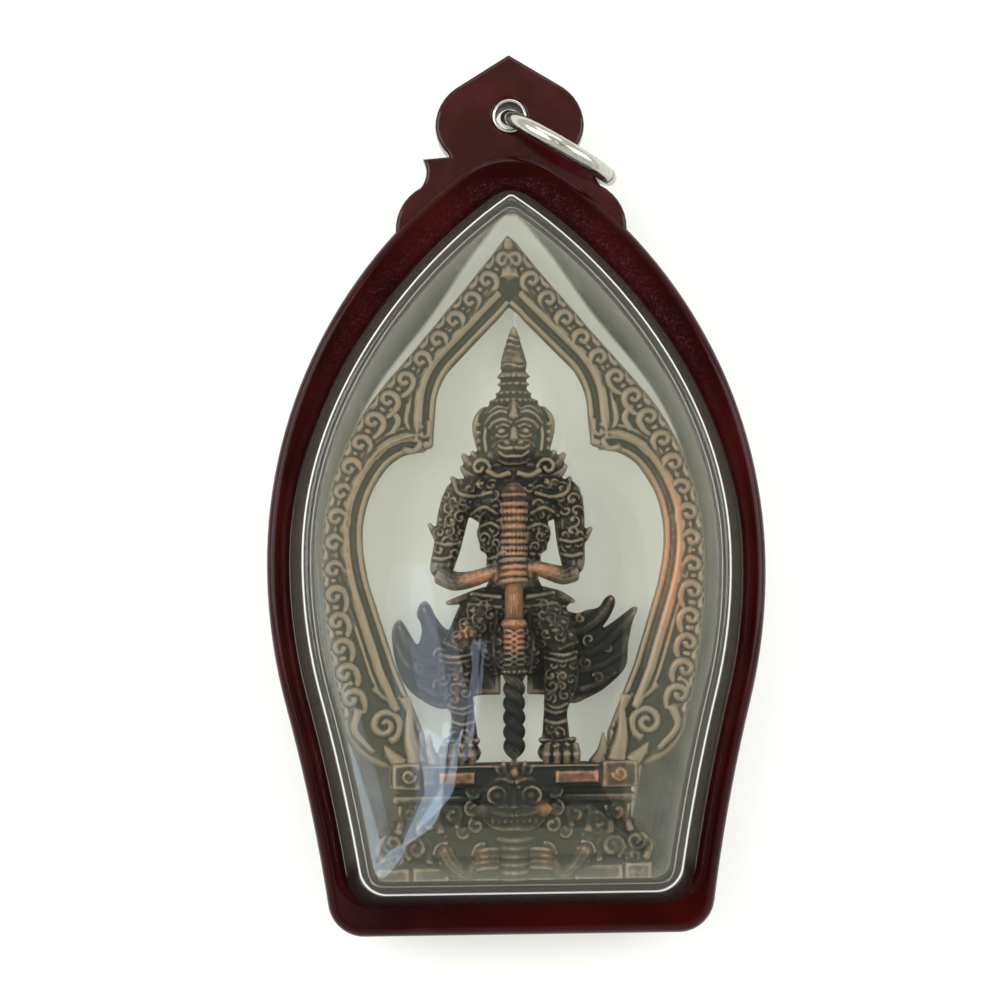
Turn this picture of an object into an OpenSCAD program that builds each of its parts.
/* [Case] */
// Half of the case's greatest width
half_w = 18.6; // [18.2:0.1:19]
// Height above the middle at which the case is widest (below the middle, so negative)
waist_y = -5.5; // [-6.5:0.5:-4.5]
// Radius of each upper flank, which the two sides of the pointed arch share
flank_r = 36.65; // [36:0.05:37.5]
// Radius of each lower flank
belly_r = 41; // [39:1:43]
// Turn of the lower flank, in degrees, before it hollows towards the foot
belly_turn = 14.6; // [14:0.2:15]
// Radius of the hollow above each bottom corner
foot_r = 136; // [120:2:150]
// Height of the bottom edge
foot_y = -32.9; // [-33.4:0.1:-32.4]
// Height of the middle of the plate above the surface it lies on
mid_z = 5.2; // [5.2:0.1:5.6]
// Thickness of the rim round the window
rim_t = 3.2; // [3:0.1:3.6]
// Bevel on the rim's edges
rim_bevel = 0.5; // [0.2:0.1:0.7]
// Distance from the case's edge to the window
window_in = 1.5; // [1.4:0.1:1.7]

/* [Ear] */
// Height of the ear's tip
tip_y = 32.9; // [32.6:0.1:33.2]
// Thickness of the ear
ear_t = 2.6; // [2.2:0.1:2.8]
// Bevel on the ear's edges
ear_bevel = 0.3; // [0.1:0.1:0.3]
// Height of the eyelet's centre
eye_y = 28.2; // [28:0.1:28.4]
// Radius of the hole that the eyelet is pressed into
seat_r = 1.2; // [1.18:0.02:1.3]

/* [Lenses] */
// Wall thickness of both clear shells
lens_t = 1.1; // [0.9:0.1:1.3]
// Clearance between a shell and the rim, or between the two shells
fit_gap = 0.05; // [0.03:0.01:0.1]
// Height of the front face at its edge
front_z = 11.2; // [10.8:0.1:11.6]
// Rise of the crowned front face at its middle
crown = 0.5; // [0.2:0.1:0.8]
// Distance from the case's edge to the front face
front_in = 3.4; // [3.2:0.1:3.6]
// Distance from the case's edge to the flat back face
back_in = 4.3; // [4:0.1:4.6]

/* [Ring] */
// Radius of the jump ring at its wire's centre
ring_r = 4.4; // [4.35:0.05:4.5]
// Radius of its wire
wire_r = 0.62; // [0.55:0.01:0.65]
// Direction in which the ring lies, in degrees from the case's right
ring_dir = -31.5; // [-32:0.5:-28]
// Lean of the ring's upper half, in degrees
ring_lean = 6; // [0:1:7]
// Bore radius of the eyelet
bore_r = 1.03; // [1:0.01:1.06]

/* [Casting] */
// Thickness of the arch's plate
arch_t = 2.1; // [1.8:0.1:2.3]
// Height of the arch's mouldings and scrolls above its plate
relief = 0.8; // [0.5:0.1:1]
// Scrolls on each side of the arch
scroll_n = 20; // [14:1:22]
// Clearance between the casting and the back shell
seat_gap = 0.3; // [0.2:0.05:0.4]

/* [Hidden] */
maroon = [0.25, 0.04, 0.06];
clear = [0.85, 0.88, 0.85, 0.35];
steel = [0.8, 0.79, 0.76];
bronze = [0.45, 0.36, 0.28];
eps = 0.01;

// Centres of the arcs that the case's outline is drawn with
flank_c = [half_w - flank_r, waist_y];
belly_c = [half_w - belly_r, waist_y];
turn_dir = [cos(belly_turn), -sin(belly_turn)];
foot_c = belly_c + (belly_r + foot_r) * turn_dir;
// The bottom edge of every inner outline stands a little further in than its sides
foot_drop = 0.4;

// One side of the ear from its tip down, a row for each edge: x, y and the radius of the edge
// that leads on to the next row (0 is straight, above 0 bulges, below 0 is hollow)
ear_rows = [
  [0, tip_y, 0],
  [4.05, 30.4, 3.55],
  [5.6, 27.5, 2.95],
  [4.7, 25.5, 0],
  [4.55, 25.2, 0],
  [6.55, 25.05, -1.9],
  [6.75, 22.9, 3.6],
  [8.68, 19.6, 0],
  [0, 19, 0]
];
// A height on the axis from which the whole of the ear's outline can be seen
ear_mid = 24.5;

// Casting: x, y and radius rows as above, from the tip of the arch to its foot
arch_outer = [
  [0, 19.3, 0],
  [9.5, 8.05, 20.3],
  [14.3, -5, 44],
  [12.7, -17, 4.5],
  [9.9, -20.6, 0]
];
arch_upper = [
  [0, 14.1, 0],
  [4.3, 9.7, 5.1],
  [5.75, 6.5, 0],
  [5.95, 3.8, 0]
];
arch_lower = [
  [6.7, 3.1, 3.5],
  [9.6, 1.8, 8],
  [11.35, -3.2, 14.4],
  [10.6, -7.8, 0],
  [6.9, -18, 0],
  [6.6, -20.6, 0]
];

// Levels of the casting above the surface
floor_z = lens_t;
arch_z = 3.1;
arch_top = arch_z + arch_t;
base_z = floor_z + seat_gap;
club_z = 8.5;

function unit(v) = v / norm(v);
function right_of(v) = [v.y, -v.x];

// Points of an arc of radius r from p to q, without q, bulging to the left of the way when r > 0
function arc(p, q, r, step = 12) =
  r == 0 ? [p] :
  let (
    d = q - p,
    h = norm(d) / 2,
    side = sign(r),
    c = (p + q) / 2 + side * sqrt(max(r * r - h * h, 0)) * right_of(unit(d)),
    turn = 2 * asin(min(h / abs(r), 1)),
    n = max(2, ceil(turn / step)),
    a = atan2(p.y - c.y, p.x - c.x)
  )
  [for (i = [0:n - 1]) c + abs(r) * [cos(a - side * turn * i / n), sin(a - side * turn * i / n)]];

// All points of a path given as rows of x, y and radius
function path(rows, step = 12) =
  concat(
    [for (i = [0:len(rows) - 2])
      each arc([rows[i].x, rows[i].y], [rows[i + 1].x, rows[i + 1].y], rows[i][2], step)],
    [[rows[len(rows) - 1].x, rows[len(rows) - 1].y]]
  );

function reverse(points) = [for (i = [len(points) - 1:-1:0]) points[i]];
function flip(points) = [for (p = reverse(points)) [-p.x, p.y]];

// A closed outline from its right side, whose first point is on the axis
function both_sides(points) =
  concat(points, [for (p = flip(points)) if (p.x < -eps) p]);

// A closed clockwise outline moved inwards by d
function shrink(loop, d) =
  [for (i = [0:len(loop) - 1])
    let (
      n = len(loop),
      a = unit(loop[i] - loop[(i + n - 1) % n]),
      b = unit(loop[(i + 1) % n] - loop[i]),
      m = unit(right_of(a) + right_of(b))
    )
    loop[i] + d / max(m * right_of(b), 0.4) * m];

// An open path moved to its right by d
function beside(line, d) =
  [for (i = [0:len(line) - 1])
    let (
      a = unit(line[max(i, 1)] - line[max(i, 1) - 1]),
      b = unit(line[min(i + 1, len(line) - 1)] - line[min(i, len(line) - 2)]),
      m = unit(right_of(a) + right_of(b))
    )
    line[i] + d / max(m * right_of(b), 0.5) * m];

// Right side of the case's outline, moved inwards: a rounded point, the flanks and a bottom corner
function half_pane(inset, drop, point_r, corner_r) =
  let (
    r1 = flank_r - inset,
    tip_c = [0, waist_y + sqrt(pow(r1 - point_r, 2) - pow(flank_c.x, 2))],
    tip_a = atan2(tip_c.y - waist_y, -flank_c.x),
    r2 = belly_r - inset,
    r3 = foot_r + inset,
    bottom = foot_y + inset + drop,
    corner_y = bottom + corner_r,
    corner_x = foot_c.x - sqrt(pow(r3 + corner_r, 2) - pow(corner_y - foot_c.y, 2)),
    foot_a = atan2(foot_c.y - corner_y, foot_c.x - corner_x)
  )
  concat(
    [for (i = [0:4]) let (a = 90 + (tip_a - 90) * i / 5) tip_c + point_r * [cos(a), sin(a)]],
    [for (i = [0:9]) let (a = tip_a * (1 - i / 10)) flank_c + r1 * [cos(a), sin(a)]],
    [for (i = [0:3]) let (a = -belly_turn * i / 4) belly_c + r2 * [cos(a), sin(a)]],
    [for (i = [0:2]) let (a = belly_turn + (-foot_a - belly_turn) * i / 3)
      foot_c - r3 * [cos(a), -sin(a)]],
    [for (i = [0:4]) let (a = foot_a + (-90 - foot_a) * i / 4)
      [corner_x, corner_y] + corner_r * [cos(a), sin(a)]]
  );

function pane(inset, drop = foot_drop, point_r = 2, corner_r = 1.5) =
  both_sides(half_pane(inset, drop, point_r, corner_r));

function at(loop, z) = [for (p = loop) [p.x, p.y, z]];

// A solid skin through loops of the same number of points, closed with a fan at each end
module skin(loops, low, high) {
  n = len(loops[0]);
  k = len(loops);
  points = concat([for (l = loops) each l], [low, high]);
  sides = [for (j = [0:k - 2], i = [0:n - 1]) let (i2 = (i + 1) % n)
    each [
      [j * n + i, j * n + i2, (j + 1) * n + i],
      [j * n + i2, (j + 1) * n + i2, (j + 1) * n + i]
    ]];
  bottom = [for (i = [0:n - 1]) [k * n, (i + 1) % n, i]];
  top = [for (i = [0:n - 1]) [k * n + 1, (k - 1) * n + i, (k - 1) * n + (i + 1) % n]];
  polyhedron(points, concat(sides, bottom, top));
}

// A plate of thickness t, bevelled on both faces, whose faces fan out from mid_y on the axis
module bevelled(loop, mid_y, t, bevel) {
  in = shrink(loop, bevel);
  z0 = mid_z - t / 2;
  z1 = mid_z + t / 2;
  skin([at(in, z0), at(loop, z0 + bevel), at(loop, z1 - bevel), at(in, z1)], [0, mid_y, z0],
    [0, mid_y, z1]);
}

// The maroon plastic rim with its ear, its window and the hole for the eyelet
module case_frame() {
  rim_point_r = 6;
  rim_corner_r = 2.7;
  color(maroon)
  difference() {
    union() {
      bevelled(pane(0, 0, rim_point_r, rim_corner_r), 0, rim_t, rim_bevel);
      bevelled(both_sides(path(ear_rows, 15)), ear_mid, ear_t, ear_bevel);
    }
    translate([0, 0, mid_z - rim_t]) linear_extrude(2 * rim_t)
    polygon(pane(window_in, foot_drop, 4, 2));
    translate([0, eye_y, mid_z - rim_t]) cylinder(h = 2 * rim_t, r = seat_r, $fn = 48);
  }
}

// Loops of a clear shell's wall, from rows of inset, height, point radius and corner radius
function shell_loops(rows) = [for (r = rows) at(pane(r[0], foot_drop, r[2], r[3]), r[1])];

// The crowned clear shell over the front
module front_lens() {
  z0 = mid_z + fit_gap / 2;
  open_in = window_in + fit_gap;
  inner_z = front_z - lens_t;
  outer = shell_loops([
    [open_in, z0, 4, 2],
    [open_in + 0.15, mid_z + rim_t / 2, 3.6, 2],
    [front_in - 0.25, front_z - 0.5, 1.6, 2],
    [front_in, front_z, 1.4, 2],
    [front_in + 5, front_z + 0.6 * crown, 1.4, 2]
  ]);
  inner = shell_loops([
    [front_in + lens_t, inner_z, 1.4, 1.2],
    [open_in + lens_t, z0, 3, 1.2]
  ]);
  color(clear)
  skin(concat(inner, outer), [0, 0, inner_z], [0, 0, front_z + crown]);
}

// The shallower clear shell at the back, whose face is flat
module rear_lens() {
  z1 = mid_z - fit_gap / 2;
  open_in = window_in + fit_gap;
  inner = shell_loops([
    [back_in + 0.6, floor_z, 2, 1.2],
    [open_in + lens_t, z1, 3, 1.2]
  ]);
  outer = shell_loops([
    [open_in, z1, 4, 2],
    [open_in + 0.15, mid_z - rim_t / 2, 3.6, 2],
    [back_in - 0.5, 0.4, 2, 2],
    [back_in, 0, 2, 2]
  ]);
  color(clear)
  mirror([0, 0, 1])
  skin([for (l = concat(inner, outer)) [for (p = l) [p.x, p.y, -p.z]]], [0, 0, -floor_z], [0, 0, 0]);
}

// The steel tube that lines the ear's hole, with a narrow rolled rim on each face
module eyelet() {
  roll_r = bore_r + 0.27;
  roll_t = 0.12;
  soft = 0.06;
  tube_r = seat_r - 0.04;
  half_h = ear_t / 2 + fit_gap + roll_t;
  color(steel)
  translate([0, eye_y, mid_z])
  rotate_extrude($fn = 72)
  polygon([
    [bore_r, -half_h + soft], [bore_r + soft, -half_h], [roll_r - soft, -half_h],
    [roll_r, -half_h + soft], [roll_r, -half_h + roll_t], [tube_r, -half_h + roll_t],
    [tube_r, half_h - roll_t], [roll_r, half_h - roll_t], [roll_r, half_h - soft],
    [roll_r - soft, half_h], [bore_r + soft, half_h], [bore_r, half_h - soft]
  ]);
}

// The polished ring that hangs in the eyelet, on edge and leaning a little
module jump_ring() {
  // how far the wire curves within the eyelet, halved on each side of the bore's middle
  bend = ring_r - sqrt(ring_r * ring_r - pow(ear_t / 2, 2));
  color(steel)
  translate([0, eye_y, mid_z])
  rotate([0, 0, ring_dir])
  rotate([90 + ring_lean, 0, 0])
  translate([ring_r - bend / 2, 0, 0])
  rotate_extrude($fn = 72) translate([ring_r, 0]) circle(r = wire_r, $fn = 32);
}

// A rounded bar between two points of the casting, with its own radius at each end
module bar(p, q, r1, r2, fn = 7) {
  hull() {
    translate(p) sphere(r = r1, $fn = fn);
    translate(q) sphere(r = r2, $fn = fn);
  }
}

// An ellipsoid
module egg(c, size, fn = 10) {
  translate(c) scale(size / 2) sphere(r = 1, $fn = fn);
}

// The same thing on both sides of the axis
module pair() {
  children();
  mirror([1, 0, 0]) children();
}

// A raised band beside a path, between two distances from it
module moulding(rows, from, to, height) {
  line = path(rows, 14);
  side = concat(beside(line, -from), reverse(beside(line, -to)));
  translate([0, 0, arch_top - eps]) linear_extrude(height) polygon(side);
}

// The middle of the arch's outer band, its length, and the point and direction at a distance along
scroll_line = beside(path(arch_outer, 6), 1.05);
function line_len(l, i = 0) = i >= len(l) - 1 ? 0 : norm(l[i + 1] - l[i]) + line_len(l, i + 1);
function along(l, s, i = 0) =
  let (d = norm(l[i + 1] - l[i]))
  s <= d || i >= len(l) - 2
    ? [l[i] + (l[i + 1] - l[i]) * s / d, l[i + 1] - l[i]]
    : along(l, s - d, i + 1);

// A flame scroll: a round eye with a tail that points up the arch
module scroll(size) {
  hull() {
    cylinder(h = relief, r1 = size * 0.5, r2 = size * 0.3, $fn = 6);
    translate([size * 0.75, size * 0.3, 0])
    cylinder(h = relief * 0.6, r1 = size * 0.22, r2 = size * 0.1, $fn = 4);
  }
}

// The flame-edged arch behind the guardian
module arch() {
  side = concat(path(arch_outer, 8), reverse(path(concat(arch_upper, arch_lower), 14)));
  total = line_len(scroll_line);
  first = 1.3;
  translate([0, 0, arch_z]) linear_extrude(arch_t) polygon(both_sides(side));
  pair() {
    moulding(arch_upper, 0.1, 0.6, relief);
    moulding(arch_upper, 0.95, 1.45, 0.7 * relief);
    moulding(arch_lower, 0.1, 0.6, relief);
    moulding(arch_lower, 0.95, 1.45, 0.7 * relief);
    for (i = [0:scroll_n - 1]) {
      spot = along(scroll_line, first + (total - 2.4 * first) * i / scroll_n);
      translate([spot[0].x, spot[0].y, arch_top - eps])
      rotate([0, 0, atan2(spot[1].y, spot[1].x) + 180])
      mirror([0, 1, 0]) scroll(1.5);
    }
    // the volute and the leaf at the arch's foot
    translate([9.8, -17.4, arch_top - eps]) cylinder(h = relief, r1 = 1.3, r2 = 1, $fn = 10);
    bar([7.4, -19.4, arch_top], [7.9, -15.6, arch_top], 1.2, 0.3);
    bar([5.8, -19.6, arch_top], [6.3, -18.1, arch_top], 1, 0.4);
  }
}

// The block under the feet: a slab, a recess with a moulding and a wider clouded base
module pedestal() {
  slab_z = 8.6;
  translate([-9.25, -21.9, base_z + 0.4]) cube([18.5, 1.5, slab_z - base_z - 0.4]);
  translate([-8.7, -26, base_z]) cube([17.4, 4.3, 7.6 - base_z]);
  translate([-9.1, -23.1, base_z + 0.4]) cube([18.2, 0.6, 8 - base_z - 0.4]);
  hull() {
    translate([-10, -25.4, 2.6]) cube([20, 0.4, 5.4]);
    translate([-10.7, -27.9, 3.3]) cube([21.4, 1.3, 4.7]);
    translate([-10.5, -28.9, 4.1]) cube([21, 1, 2.9]);
  }
  pair() {
    // bars on the slab and the foot
    translate([3, -21.6, slab_z - eps]) cube([3.4, 0.8, 0.35]);
    translate([6.9, -21.9, slab_z - eps]) cube([2.2, 1.4, 0.3]);
    translate([5.4, -28.7, 6.9]) cube([4.6, 1, 0.9]);
    // clouds of the base, rows of x, y and width
    for (c = [[9.2, -26.3, 2], [7.2, -26, 1.6], [8.1, -27.4, 1.7]])
      egg([c.x, c.y, 8], [c[2], c[2], 1.2], 7);
    // leaves in the recess
    for (x = [4.6, 6.2, 7.8]) egg([x, -24.1, 7.7], [1.2, 2, 1.1], 6);
  }
}

// The crowned head that carries the pedestal, with its arms and ringed body
module bearer() {
  translate([-0.4, 0, 0]) {
    egg([0, -22.9, 7.9], [5.4, 4.2, 2.6], 10);
    hull() {
      egg([0, -21.5, 8.1], [3.2, 1, 1.6], 7);
      egg([0, -19.9, 8.1], [0.5, 0.6, 0.8], 6);
    }
    pair() {
      egg([1.3, -22.5, 9], [1.5, 1.3, 0.7], 7);
      egg([2.6, -22, 8.3], [1, 1.6, 1], 6);
      bar([5.5, -26.2, 7.9], [3.6, -28, 7.8], 0.7, 0.5);
      bar([3.6, -28, 7.8], [2.1, -26.9, 8.3], 0.5, 0.8);
    }
    egg([0, -23.4, 9], [0.8, 0.9, 0.8], 6);
    egg([0, -24.3, 8.8], [3.2, 0.9, 0.9], 7);
    for (i = [0:2]) egg([0.3, -26 - i, 7.8], [2.3 - 0.2 * i, 1, 1.9], 7);
  }
}

// The tiered helmet with its spire, a row for each tier: y, radius and length
module helmet(z) {
  for (t = [[6.3, 2.15, 1], [7.1, 1.6, 0.8], [7.75, 1.25, 0.8], [8.4, 1.1, 0.9]])
    translate([0, t.x, z]) rotate([-90, 0, 0]) cylinder(h = t[2], r1 = t.y, r2 = 0.8 * t.y, $fn = 9);
  translate([0, 9.2, z]) rotate([-90, 0, 0]) cylinder(h = 3.35, r1 = 0.95, r2 = 0.22, $fn = 7);
  pair() egg([2.4, 4.6, z], [1.1, 3.6, 1.6], 7);
}

// The head with a plain guardian's face: brow, round eyes, nose and a wide mouth with tusks
module head(z) {
  egg([0, 4.6, z], [3.9, 5, 3.7], 10);
  egg([0, 6, z], [4.5, 2.2, 4], 9);
  egg([0, 4.1, z + 1.75], [0.8, 1.3, 0.8], 6);
  egg([0, 2.9, z + 1.4], [2, 0.8, 0.9], 7);
  pair() {
    egg([0.85, 4.9, z + 1.5], [1.1, 0.8, 0.7], 6);
    bar([0.8, 2.8, z + 1.6], [0.9, 3.5, z + 1.6], 0.18, 0.1, 4);
  }
}

// Torso, collar, arms and hands of the guardian, with one elbow held further out
module body_upper(z) {
  hull() {
    egg([0, -0.4, z], [8.2, 3.6, 3.6], 10);
    egg([0, -2.6, z], [6, 2, 3.4], 10);
  }
  hull() {
    egg([0, -2.6, z], [6, 2, 3.4], 10);
    egg([0, -6.5, z], [4.1, 2.4, 3.2], 10);
  }
  egg([0, 1.5, z], [6, 2.4, 3.2], 8);
  for (i = [0:1]) egg([0, -0.4 - 2.2 * i, z + 1.3], [5.2 - 0.9 * i, 1.2, 1.8], 7);
  egg([0, -7.6, z], [6.6, 1.6, 3.8], 9);
  pair() {
    bar([2.4, 2, z + 0.4], [3.8, 2.3, z + 0.3], 0.9, 0.4, 6);
    bar([3.9, 0.1, z], [4.6, 1.2, z], 1.3, 0.35);
    bar([0.7, -6.2, club_z - 0.4], [0.9, -5.1, club_z - 0.4], 0.65, 0.55);
  }
  // each arm, rows of side, elbow and flare
  for (a = [[-1, 5.6, 6.2], [1, 4.8, 5.8]]) {
    elbow = [a[0] * a[1], -6.1, z + 0.3];
    middle = [a[0] * (a[1] - 0.3), -3.6, z];
    bar([a[0] * 4.1, 0, z], middle, 1.25, 0.95);
    bar(middle, elbow, 0.95, 0.8);
    bar(elbow, [a[0] * 0.9, -6, club_z - 0.5], 0.8, 0.6);
    bar([a[0] * (a[2] - 1.2), -2.9, z], [a[0] * a[2], -2.3, z], 0.6, 0.2, 5);
  }
}

// Skirt, legs and feet
module body_lower(z) {
  hull() {
    egg([0, -8.4, z], [6.8, 1.6, 3.8], 9);
    egg([0, -11, z - 0.4], [6, 2, 2.6], 9);
  }
  pair() {
    bar([3, -8.4, z + 0.2], [4.6, -8.1, z + 0.2], 0.8, 0.2, 6);
    bar([2.5, -9.4, z], [4.1, -11.8, z + 0.2], 1.6, 1.4);
    bar([4.1, -12, z + 0.2], [3.9, -16.2, z], 1.35, 1.1);
    bar([3.8, -16.2, z], [3.4, -19, z], 1.2, 0.8);
    bar([3.4, -19.5, z - 0.6], [4.1, -19.6, z + 1.8], 1.2, 0.9);
  }
}

// One side of the waist cloth, whose ends rise like flames
cloth_rows = [
  [0, -7.5, 0],
  [4.2, -9.6, 0],
  [5.2, -8.9, 1.6],
  [7, -7.9, -2.2],
  [6.7, -10.6, -3.4],
  [9.2, -8.9, -4],
  [8.8, -11.6, 9],
  [7.9, -14.3, 4],
  [5.3, -16, -8],
  [2.1, -15.3, 0],
  [0, -15.2, 0]
];

module waist_cloth(z) {
  translate([0, 0, z]) linear_extrude(1.7) polygon(both_sides(path(cloth_rows, 25)));
  pair() {
    bar([6.3, -12.6, z + 1.4], [6.8, -8.7, z + 1.5], 0.8, 0.3, 5);
    bar([6.6, -13.4, z + 1.4], [8.9, -9.7, z + 1.4], 0.9, 0.3, 5);
  }
}

// The club that the guardian leans on: a banded grip above a twisted shaft
module club() {
  shaft_r = 0.78;
  for (s = [[0.6, 1.3], [-0.9, 1.7], [-2.8, 1.9], [-9.6, 1.3], [-11.1, 1.2]])
    translate([0, s[0], club_z]) rotate([90, 0, 0]) cylinder(h = s[1], r1 = 0.95, r2 = 0.8, $fn = 8);
  translate([0, 0.5, club_z]) rotate([90, 0, 0]) cylinder(h = 14, r = shaft_r, $fn = 7);
  // the twisted part, as overlapping lozenges
  for (i = [0:4])
    egg([0, -13.9 - 1.35 * i, club_z - 0.06 * i], [1.9, 1.7, 1.8], 7);
}

// The whole casting, one piece of bronze with open work between arch and figure
module cast_amulet() {
  figure_z = 5.9;
  color(bronze) {
    arch();
    pedestal();
    bearer();
    helmet(figure_z + 0.2);
    head(figure_z + 0.3);
    body_upper(figure_z);
    body_lower(figure_z);
    waist_cloth(figure_z - 2.4);
    club();
  }
}

case_frame();
front_lens();
rear_lens();
eyelet();
jump_ring();
cast_amulet();
